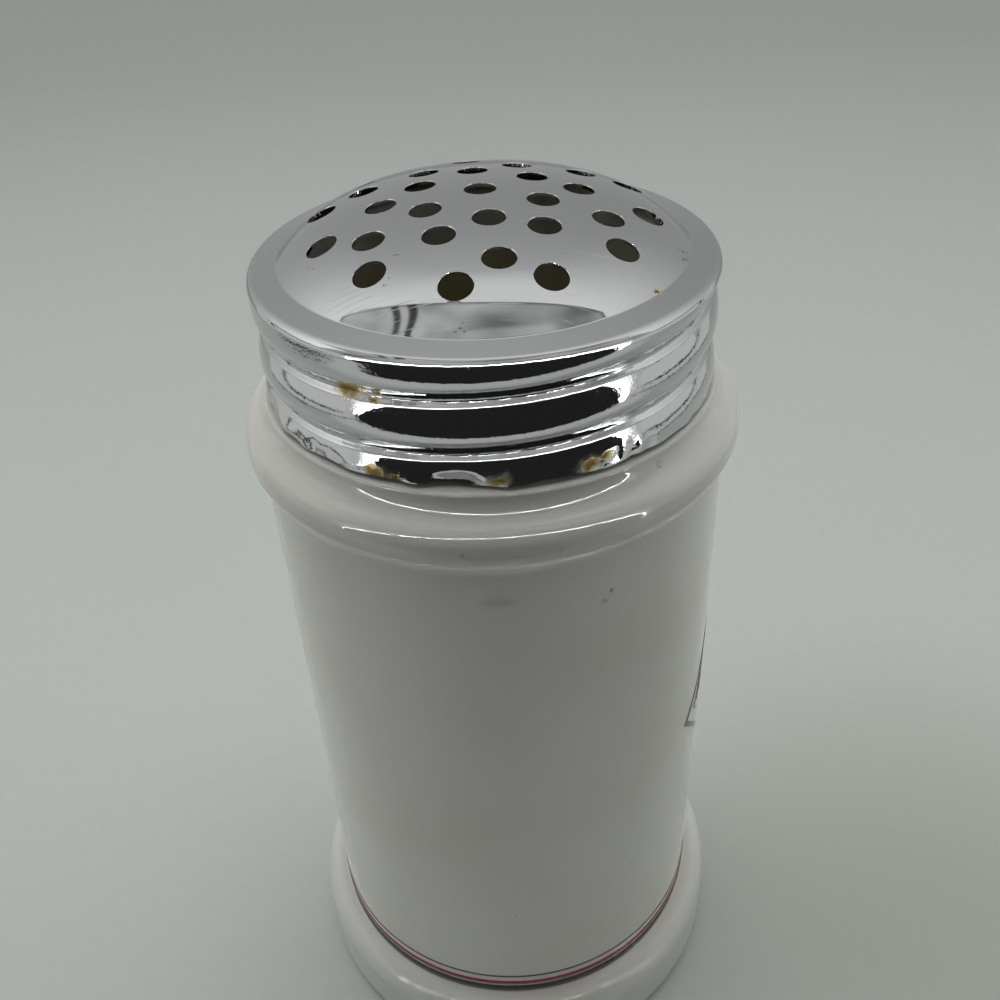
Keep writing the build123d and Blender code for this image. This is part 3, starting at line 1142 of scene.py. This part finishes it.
@dataclass
class Lid:
    """The stamped lid: shallow perforated dome, rolled rim, and a skirt with the thread rolled into it."""

    thread: ScrewThread
    sheet: float = 0.5
    skirt_bottom: float = 126.5
    rim_height: float = 142.85
    rim_radius: float = 32.35
    rim_round: float = 1.3
    # The rim's top is a flat ring that falls outwards by an angle in degrees.
    rim_flat: float = 3.03
    rim_fall: float = 11.0
    crease_fillet: float = 0.45
    dome_top: float = 152.4
    cap_radius: float = 72.0
    knuckle_radius: float = 20.0
    hole_radius: float = 2.15
    hole_chamfer: float = 0.13
    hole_spacing: float = 4.45
    # Rings of holes: steps of the spacing from the axis, number of holes, angle of the first.
    hole_rings: tuple[tuple[int, int, float], ...] = (
        (0, 1, 0.0),
        (2, 6, -84.0),
        (3, 6, -54.0),
        (4, 6, -84.0),
        (5, 12, -99.0),
    )
    hole_steps: int = 40
    outer_stretch: float = 1.05
    wall_step: float = 0.12
    dome_step: float = 0.7
    steps: int = 232
    front: float = -95.0
    edge_lift: float = 0.3
    edge_up: float = 0.1
    edge_reach: float = 46.0
    edge_band: float = 3.0
    # Wander of the edge: how far, and over what length.
    edge_wander: tuple[Span, ...] = ((0.15, 2.2), (0.22, 4.5))
    lift_wander: Span = (0.35, 6.0)
    punch_below: float = 2.0
    punch_above: float = 0.6
    arc_turn: float = 7.0
    arc_parts: int = 6
    height_slack: float = 0.001
    dents: tuple[Dent, ...] = (
        Dent(-98.3, 126.7, 10.0, 3.0, 1.0),
        Dent(-107.5, 126.7, 2.4, 2.2, -0.3),
        Dent(-112.5, 126.9, 2.2, 2.6, 0.35),
        Dent(-87.5, 126.9, 2.0, 1.8, -0.25),
        Dent(-125.0, 127.2, 1.6, 1.5, -0.2),
        Dent(-131.0, 127.5, 2.0, 1.6, 0.22),
        Dent(-137.0, 127.2, 1.5, 1.8, 0.3),
        Dent(-61.5, 127.7, 1.3, 2.2, 0.28),
        Dent(-57.4, 127.5, 1.3, 2.4, 0.32),
        Dent(-52.4, 127.2, 1.5, 2.2, 0.28),
        Dent(35.0, 127.0, 6.0, 2.0, 0.5),
        Dent(128.0, 126.9, 5.0, 2.2, 0.55),
        Dent(-160.0, 127.0, 4.0, 2.0, 0.4),
    )

    def arcs(self) -> list[tuple[Vector, float, float, float]]:
        """Return the arcs from the top of the dome to the skirt.

        Returns:
            Each arc's middle, its radius, and the angles in degrees at which it starts and ends.
        """
        cap = Vector((0, self.dome_top - self.cap_radius))
        rim = Vector((self.rim_radius - self.rim_round, self.rim_height))
        lean = math.radians(90 - self.rim_fall)
        crease = rim + Vector((math.cos(lean), math.sin(lean))) * (self.rim_round + self.crease_fillet)
        crease += Vector((-math.sin(lean), math.cos(lean))) * self.rim_flat
        across = crease - cap
        far = self.cap_radius - self.knuckle_radius
        near = self.knuckle_radius + self.crease_fillet
        along = (far**2 - near**2 + across.length_squared) / (2 * across.length)
        unit = across.normalized()
        knuckle = cap + unit * along + Vector((-unit.y, unit.x)) * math.sqrt(far**2 - along**2)
        cap_end = math.degrees(math.atan2(*(knuckle - cap).yx))
        knuckle_end = math.degrees(math.atan2(*(crease - knuckle).yx))
        return [
            (cap, self.cap_radius, 90.0, cap_end),
            (knuckle, self.knuckle_radius, cap_end, knuckle_end),
            (crease, self.crease_fillet, knuckle_end + 180, 270 - self.rim_fall),
            (rim, self.rim_round, 90 - self.rim_fall, 0.0),
        ]

    def profile(self) -> Profile:
        """Return the lid's outer profile, from the axis to the skirt's edge."""
        points: list[Vector] = []
        for middle, radius, start, end in self.arcs():
            length = radius * math.radians(abs(end - start))
            turns = math.ceil(abs(end - start) / self.arc_turn)
            count = max(self.arc_parts, math.ceil(length / self.dome_step), turns)
            for n in range(count + 1):
                turn = math.radians(start + (end - start) * n / count)
                points.append(middle + Vector((math.cos(turn), math.sin(turn))) * radius)
        rows = math.ceil((self.rim_height - self.skirt_bottom) / self.wall_step)
        drop = (self.rim_height - self.skirt_bottom) / rows
        points += [Vector((self.rim_radius, self.rim_height - drop * n)) for n in range(1, rows + 1)]
        return [(point.x, point.y) for point in points]

    def roll(self, place: Vector) -> Vector:
        """Roll the thread into the skirt, knock it about and let its edge wander."""
        if place.z > self.rim_height + self.height_slack:
            return place.copy()
        angle = angle_of(place)
        inwards = self.thread.groove(angle, place.z)
        inwards += sum(dent.at(angle, place.z) for dent in self.dents)
        low = smooth(self.skirt_bottom + self.edge_band, self.skirt_bottom, place.z)
        inwards += low * sum(far * noise.noise(place / length) for far, length in self.edge_wander)
        near_front = math.exp(-((degrees_apart(angle, self.front) / self.edge_reach) ** 2))
        far, length = self.lift_wander
        lift = self.edge_lift * near_front + self.edge_up + far * noise.noise(place / length)
        shrink = 1 - inwards / self.rim_radius
        return Vector((place.x * shrink, place.y * shrink, place.z + lift * low))

    def hole_planes(self) -> list[Matrix]:
        """Return the place of each perforation, square to the dome; the outermost are drawn out."""
        planes = []
        cap, knuckle = self.arcs()[:2]
        outermost = max(ring for ring, _, _ in self.hole_rings)
        for ring, count, first in self.hole_rings:
            radius = ring * self.hole_spacing
            past_cap = radius > cap[1] * math.cos(math.radians(cap[3]))
            middle, reach, _, _ = knuckle if past_cap else cap
            lean = math.asin((radius - middle.x) / reach)
            height = middle.y + reach * math.cos(lean)
            drawn = Matrix.Diagonal((1, self.outer_stretch if ring == outermost else 1, 1, 1))
            for number in range(count):
                turn = math.radians(first + number * 360 / count)
                across = Vector((math.cos(turn), math.sin(turn), 0))
                out = across * math.sin(lean) + Vector((0, 0, math.cos(lean)))
                turned = out.to_track_quat("Z", "Y").to_matrix().to_4x4()
                place = across * radius + Vector((0, 0, height))
                planes.append(Matrix.Translation(place * MM) @ turned @ drawn)
        return planes

    def punches(self) -> Object:
        """Make the punch for every perforation, each with a chamfer that breaks the hole's edge."""
        radius, chamfer = self.hole_radius, self.hole_chamfer
        low, high = -self.punch_below, self.punch_above
        profile = [(0, low), (radius, low), (radius, -chamfer), (radius + chamfer + high, high), (0, high)]
        punch = turn_profile("punch", profile, self.hole_steps)
        copies = []
        for plane in self.hole_planes():
            copy = punch.copy()
            copy.data = punch.data.copy()
            copy.matrix_world = plane
            bpy.context.scene.collection.objects.link(copy)
            copies.append(copy)
        bpy.data.objects.remove(punch)
        joined = join_pieces("punches", copies)
        bpy.ops.object.transform_apply(location=True, rotation=True, scale=True)
        return joined

    def build(self) -> Object:
        """Stamp the lid, roll its thread, punch it, plate it and put it in its place."""
        piece = turn_profile("chromed_lid", self.profile(), self.steps)
        reshape(piece, self.roll)
        piece.data.materials.append(ChromePlate().build())
        piece.data.materials.append(DullSteel().build())
        apply_modifier(piece, "SOLIDIFY", thickness=self.sheet * MM, offset=-1.0, material_offset=1)
        punches = self.punches()
        apply_modifier(piece, "BOOLEAN", object=punches, operation="DIFFERENCE", solver="EXACT")
        bpy.data.objects.remove(punches)
        shade(piece, sharp_from=38)
        place_piece(piece, "lid", "lid")
        return piece


@dataclass
class Liner:
    """The flat washer between lid and lip, with softened edges and a moulded groove."""

    inside: float = 26.2
    outside: float = 30.737
    bottom: float = 143.01
    thickness: float = 1.0
    edge: float = 0.2
    groove_depth: float = 0.18
    groove_half: float = 0.5
    steps: int = 128

    def build(self) -> Object:
        """Mould the washer and put it in its place."""
        top = self.bottom + self.thickness
        middle = (self.inside + self.outside) / 2
        half = self.groove_half
        corners = [
            Corner(middle, self.bottom),
            Corner(self.outside, self.bottom, self.edge),
            Corner(self.outside, top, self.edge),
            Corner(middle + 2 * half, top, self.edge),
            Corner(middle + half, top - self.groove_depth, self.edge),
            Corner(middle - half, top - self.groove_depth, self.edge),
            Corner(middle - 2 * half, top, self.edge),
            Corner(self.inside, top, self.edge),
            Corner(self.inside, self.bottom, self.edge),
            Corner(middle, self.bottom),
        ]
        piece = turn_profile("rubber_liner", round_profile(corners, arc_step=15), self.steps)
        shade(piece, sharp_from=50)
        piece.data.materials.append(PaleRubber().build())
        place_piece(piece, "liner", "lid_liner")
        return piece


@dataclass(frozen=True)
class Stripe:
    """One transfer ring.

    Attributes:
        node: the solid that it stands for.
        ink: its colour.
        slot: the record's material slot; not used.
        height: height of its middle.
        width: its width.
    """

    node: str
    ink: Ink
    slot: str
    height: float
    width: float


@dataclass
class Transfers:
    """The fired-on decoration: three rings above the foot and a lozenge badge on the +X side."""

    ripple: GlazeRipple
    body_radius: float = 34.9
    thickness: float = 0.08
    stripes: tuple[Stripe, ...] = (
        Stripe("black_stripe", Ink.BLACK, "black_transfer", 15.35, 1.8),
        Stripe("red_stripe", Ink.RED, "red_transfer", 17.2, 1.05),
        Stripe("fine_stripe", Ink.GREY, "grey_transfer", 19.3, 0.45),
    )
    badge_height: float = 66.0
    badge_half_width: float = 19.0
    badge_half_length: float = 22.0
    badge_line: float = 0.9
    badge_gap: float = 2.2
    badge_fine_line: float = 0.4
    petal_length: float = 9.0
    petal_width: float = 4.4
    petal_gap: float = 1.4
    dot_radius: float = 0.9
    dot_reach: float = 0.62
    line_parts: int = 24
    leaf_parts: tuple[int, int] = (14, 10)
    ring_steps: int = 224
    inks: dict[Ink, Material] = field(default_factory=dict)

    def ink(self, ink: Ink) -> Material:
        """Return the material of an ink, made once."""
        if ink not in self.inks:
            self.inks[ink] = FiredTransfer(ink).build()
        return self.inks[ink]

    def lay_on(self, place: Vector) -> Vector:
        """Let a ring follow the glaze's unevenness."""
        radius = math.hypot(place.x, place.y)
        wall = place.xy.normalized() * self.body_radius
        swell = 1 + self.ripple.at(Vector((*wall, place.z))) / radius
        return Vector((place.x * swell, place.y * swell, place.z))

    def build_stripes(self) -> list[Object]:
        """Print the rings round the body, each with softened edges."""
        pieces = []
        for stripe in self.stripes:
            outside = self.body_radius + self.thickness
            low = stripe.height - stripe.width / 2
            high = stripe.height + stripe.width / 2
            soft = self.thickness / 2
            profile = [
                (self.body_radius, low),
                (outside - soft, low),
                (outside, low + soft),
                (outside, high - soft),
                (outside - soft, high),
                (self.body_radius, high),
                (self.body_radius, low),
            ]
            piece = turn_profile(f"printed_{stripe.node}", profile, self.ring_steps)
            reshape(piece, self.lay_on)
            shade(piece, sharp_from=60)
            piece.data.materials.append(self.ink(stripe.ink))
            place_piece(piece, "jar", stripe.node)
            pieces.append(piece)
        return pieces

    def wrap(self, piece: Object) -> None:
        """Give a flat print its thickness and wrap it on the body's +X side.

        Args:
            piece: a flat mesh in X and Y, which become the badge's width and height.
        """
        apply_modifier(piece, "SOLIDIFY", thickness=self.thickness * MM, offset=1.0)

        def onto_body(place: Vector) -> Vector:
            layer = self.body_radius + place.z
            flat = Vector((math.sqrt(layer**2 - place.x**2), place.x, place.y + self.badge_height))
            return self.lay_on(flat)

        reshape(piece, onto_body)
        face_outwards(piece)
        shade(piece, sharp_from=60)

    def lozenge_line(self, inset: float, width: float) -> Object:
        """Draw one line of the lozenge.

        Args:
            inset: distance in from the badge's outline.
            width: the line's width.

        Returns:
            A flat mesh with four mitred sides, divided along their length.
        """
        slant = math.hypot(self.badge_half_width, self.badge_half_length)

        def corners(margin: float) -> list[Vector]:
            across = self.badge_half_width - margin * slant / self.badge_half_length
            up = self.badge_half_length - margin * slant / self.badge_half_width
            return [Vector((across, 0)), Vector((0, up)), Vector((-across, 0)), Vector((0, -up))]

        line = flat_grid("badge_line", 2 * MM, 4 * self.line_parts)
        outer, inner = corners(inset), corners(inset + width)

        def lay_out(place: Vector) -> Vector:
            along = (place.x + 1) / 2 * 4
            side = min(int(along + 1e-6), 3)
            share = along - side
            edge = inner if place.y > 0 else outer
            spot = edge[side].lerp(edge[(side + 1) % 4], share)
            return Vector((spot.x, spot.y, 0))

        reshape(line, lay_out)
        face_outwards(line, 0.001)
        if line.data.polygons[0].normal.z < 0:
            line.data.flip_normals()
        return line

    def leaf(self, centre: Vector, half_length: float, half_width: float, turn: float) -> Object:
        """Draw an oval of even quads.

        Args:
            centre: its middle, in the badge's plane.
            half_length: half its length.
            half_width: half its width.
            turn: degrees by which its length is turned.

        Returns:
            A flat mesh.
        """
        leaf = flat_grid("badge_leaf", 2 * MM, *self.leaf_parts)
        spin = Matrix.Rotation(math.radians(turn), 2)

        def to_oval(place: Vector) -> Vector:
            across = place.x * math.sqrt(1 - place.y**2 / 2) * half_length
            up = place.y * math.sqrt(1 - place.x**2 / 2) * half_width
            spot = spin @ Vector((across, up)) + centre
            return Vector((spot.x, spot.y, 0))

        reshape(leaf, to_oval)
        return leaf

    def build_badge(self) -> list[Object]:
        """Print the badge: a lozenge of two lines round four petals and four dots."""
        lines = [
            self.lozenge_line(0.0, self.badge_line),
            self.lozenge_line(self.badge_line + self.badge_gap, self.badge_fine_line),
        ]
        border = join_pieces("printed_badge_frame", lines)
        self.wrap(border)
        border.data.materials.append(self.ink(Ink.BLACK))
        place_piece(border, "jar", "badge_frame")
        leaves = []
        for number in range(4):
            turn = 90.0 * number
            out = Vector((math.cos(math.radians(turn)), math.sin(math.radians(turn))))
            petal = out * (self.petal_gap + self.petal_length / 2)
            leaves.append(self.leaf(petal, self.petal_length / 2, self.petal_width / 2, turn))
            reach = Vector((out.x * self.badge_half_width, out.y * self.badge_half_length)) * self.dot_reach
            leaves.append(self.leaf(reach, self.dot_radius, self.dot_radius, 0.0))
        rosette = join_pieces("printed_badge_rosette", leaves)
        self.wrap(rosette)
        rosette.data.materials.append(self.ink(Ink.RED))
        place_piece(rosette, "jar", "badge_rosette")
        return [border, rosette]


@dataclass
class Studio:
    """The light tent: pale floor, soft light, cloths that reflections show, and the camera.

    Lengths are in metres, because the tent is large beside the object.
    """

    floor_size: float = 6.0
    wall_distance: float = 0.155
    wall_left: float = -0.75
    wall_right: float = 0.62
    side_distance: float = 0.3
    side_back: float = 0.2
    side_height: float = 0.19
    wall_height: float = 0.6
    panel_left: float = -0.56
    panel_right: float = 0.5
    back_glow: float = 0.31
    front_glow: float = 1.0
    top_glow: float = 0.92
    top_from: float = 0.84
    left_gain: float = 1.38
    right_gain: float = 1.04
    side_light: float = 2.15
    high_light: float = 0.16
    front_light: float = 0.02
    lamp_place: tuple[float, float, float] = (-0.06, 0.03, 0.8)
    lamp_size: float = 0.7
    lamp_watts: float = 3.0
    camera_place: tuple[float, float, float] = (0.0, -0.13484, 0.20019)
    camera_down: float = 36.33
    camera_roll: float = 2.92
    camera_yaw: float = 0.23
    lens: float = 37.24
    sensor: float = 36.0
    clip: Span = (0.005, 20.0)
    # Directions between which the tent's glow and the object's light change.
    glow_turns: Span = (0.95, -0.35)
    gain_turns: Span = (-0.9, 0.9)
    light_turns: Span = (-0.7, 0.1)
    high_turns: Span = (0.15, 0.8)

    def lay_floor(self) -> None:
        """Lay the pale paper floor, which takes the object's shadow."""
        floor = flat_grid("paper_floor", self.floor_size)
        floor.data.materials.append(PalePaper().build())

    def hang_front(self) -> None:
        """Hang the cloths: a front wall behind the camera, a panel overhead and two sides.

        Reflections see them all. The front wall also shades the object from that side.
        """
        front = TentFront()
        glow, window = front.build(), TentSide().build()
        near, top = -self.wall_distance, self.wall_height
        wall, panel = (self.wall_left, self.wall_right), (self.panel_left, self.panel_right)
        overhead = [(x, near, top) for x in panel] + [(x, -front.edge_slant * x, top) for x in panel]
        cloths = [
            ("tent_front_wall", glow, [(x, near, z) for z in (0, top) for x in wall]),
            ("tent_front_panel", glow, overhead),
        ]
        for side, x in (("left", -self.side_distance), ("right", self.side_distance)):
            corners = [(x, y, z) for z in (0, self.side_height) for y in (near, self.side_back)]
            cloths.append((f"tent_{side}_side", window, corners))
        for name, finish, corners in cloths:
            cloth = flat_grid(name, 1.0)
            for vertex, corner in zip(cloth.data.vertices, corners):
                vertex.co = corner
            cloth.data.materials.append(finish)
            cloth.visible_camera = False
            cloth.visible_diffuse = name == "tent_front_wall"
            cloth.visible_shadow = False
            cloth.visible_transmission = False

    def light_world(self) -> None:
        """Light the tent, with cloth walls that are seen paler towards the front.

        Camera, glossy and transmission rays see the cloth; the object's light comes from the sides and the
        back, less of it from above, and little from the open front.
        """
        world = bpy.data.worlds.new("light_tent")
        bpy.context.scene.world = world
        world.use_nodes = True
        tree = world.node_tree
        tree.nodes.clear()
        add = partial(add_node, tree)
        way = add("TexCoord").outputs["Generated"]
        x, y, z = add("SeparateXYZ", (way,)).outputs
        walls = add("MapRange", (y, *self.glow_turns, self.back_glow, self.front_glow), **SOFT)
        top = add("MapRange", (z, self.top_from, 1.0, 0, 1), **SOFT)
        gain = add("MapRange", (x, *self.gain_turns, self.left_gain, self.right_gain))
        walls = add("Math", (walls, gain), operation="MULTIPLY")
        cloth = add("Mix", (top, walls, self.top_glow), data_type="FLOAT")
        light = add("MapRange", (y, *self.light_turns, self.front_light, self.side_light), **SOFT)
        low = add("MapRange", (z, *self.high_turns, 1, self.high_light), **SOFT)
        light = add("Math", (light, low), operation="MULTIPLY")
        rays = add("LightPath")
        seen = rays.outputs["Is Camera Ray"]
        for kind in ("Glossy", "Transmission"):
            seen = add("Math", (seen, rays.outputs[f"Is {kind} Ray"]), operation="MAXIMUM")
        strength = add("Mix", (seen, light, cloth), data_type="FLOAT")
        glow = add("Background", {"Color": (1, 1, 1, 1), "Strength": strength})
        add("OutputWorld", {"Surface": glow})

    def hang_lamp(self) -> None:
        """Hang the soft overhead lamp."""
        bpy.ops.object.light_add(type="AREA", location=self.lamp_place)
        lamp = bpy.context.object
        lamp.name = "overhead_soft_box"
        lamp.data.size = self.lamp_size
        lamp.data.energy = self.lamp_watts
        lamp.visible_glossy = False

    def set_camera(self) -> None:
        """Set the camera where the photograph was taken."""
        tilt = Euler((math.radians(90 - self.camera_down), 0, -math.radians(self.camera_yaw))).to_matrix()
        roll = Matrix.Rotation(-math.radians(self.camera_roll), 3, "Z")
        bpy.ops.object.camera_add(location=self.camera_place, rotation=(tilt @ roll).to_euler())
        camera = bpy.context.object
        camera.name = "photo_camera"
        camera.data.lens = self.lens
        camera.data.sensor_width = self.sensor
        camera.data.clip_start, camera.data.clip_end = self.clip
        bpy.context.scene.camera = camera

    def build(self) -> None:
        """Set up the whole tent."""
        bpy.context.scene.view_settings.view_transform = "Standard"
        self.lay_floor()
        self.hang_front()
        self.light_world()
        self.hang_lamp()
        self.set_camera()


def main() -> None:
    """Build every piece and set the studio."""
    logging.basicConfig(level=logging.INFO, format="%(name)s: %(message)s")
    thread = ScrewThread()
    ripple = GlazeRipple()
    Jar(thread, ripple).build()
    Lid(thread).build()
    Liner().build()
    transfers = Transfers(ripple)
    transfers.build_stripes()
    transfers.build_badge()
    Studio().build()


if __name__ == "__main__":
    main()
